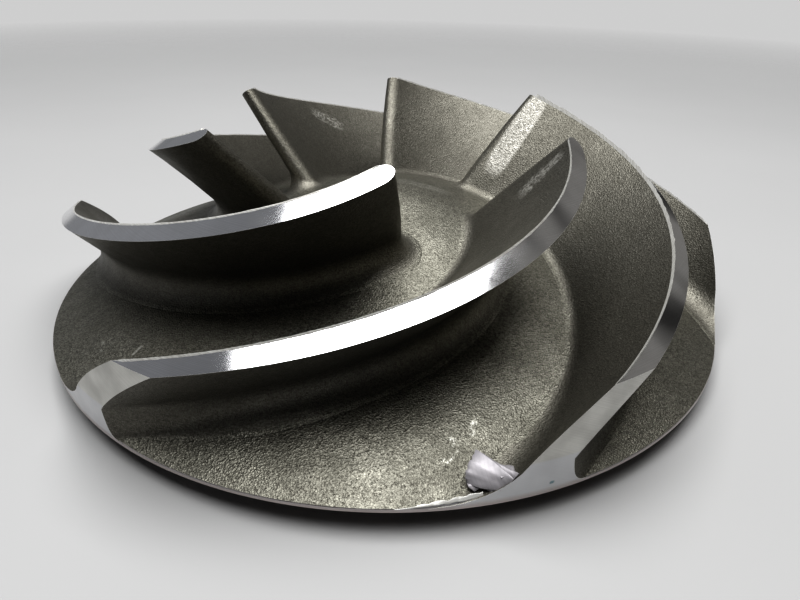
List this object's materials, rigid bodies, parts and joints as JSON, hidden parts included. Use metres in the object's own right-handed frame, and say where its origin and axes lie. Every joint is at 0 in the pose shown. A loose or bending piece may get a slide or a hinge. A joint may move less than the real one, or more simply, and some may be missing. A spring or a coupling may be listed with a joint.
{
  "type": "semi-open pump impeller",
  "caption": "Semi-open mixed-flow pump impeller: a closed-nose hub on a conical back disc that carries tall, leaning, backward-curved vanes.",
  "frame": {"origin": "centre of the hub's back face, on the shaft axis", "axes": "+Z along the shaft axis towards the nose and the pump's inlet; the front vane's leading edge is near -Y"},
  "size_m": [0.318, 0.318, 0.0958],
  "materials": {
    "casting": "shot-blasted as-cast surface, olive grey",
    "turned_metal": "freshly turned, bright"
  },
  "bodies": {
    "root": {"hub": "casting", "back_disc": "casting", "vane_1": "casting", "vane_2": "casting", "vane_3": "casting", "vane_4": "casting", "vane_5": "casting", "vane_6": "casting"}
  },
  "joints": []
}
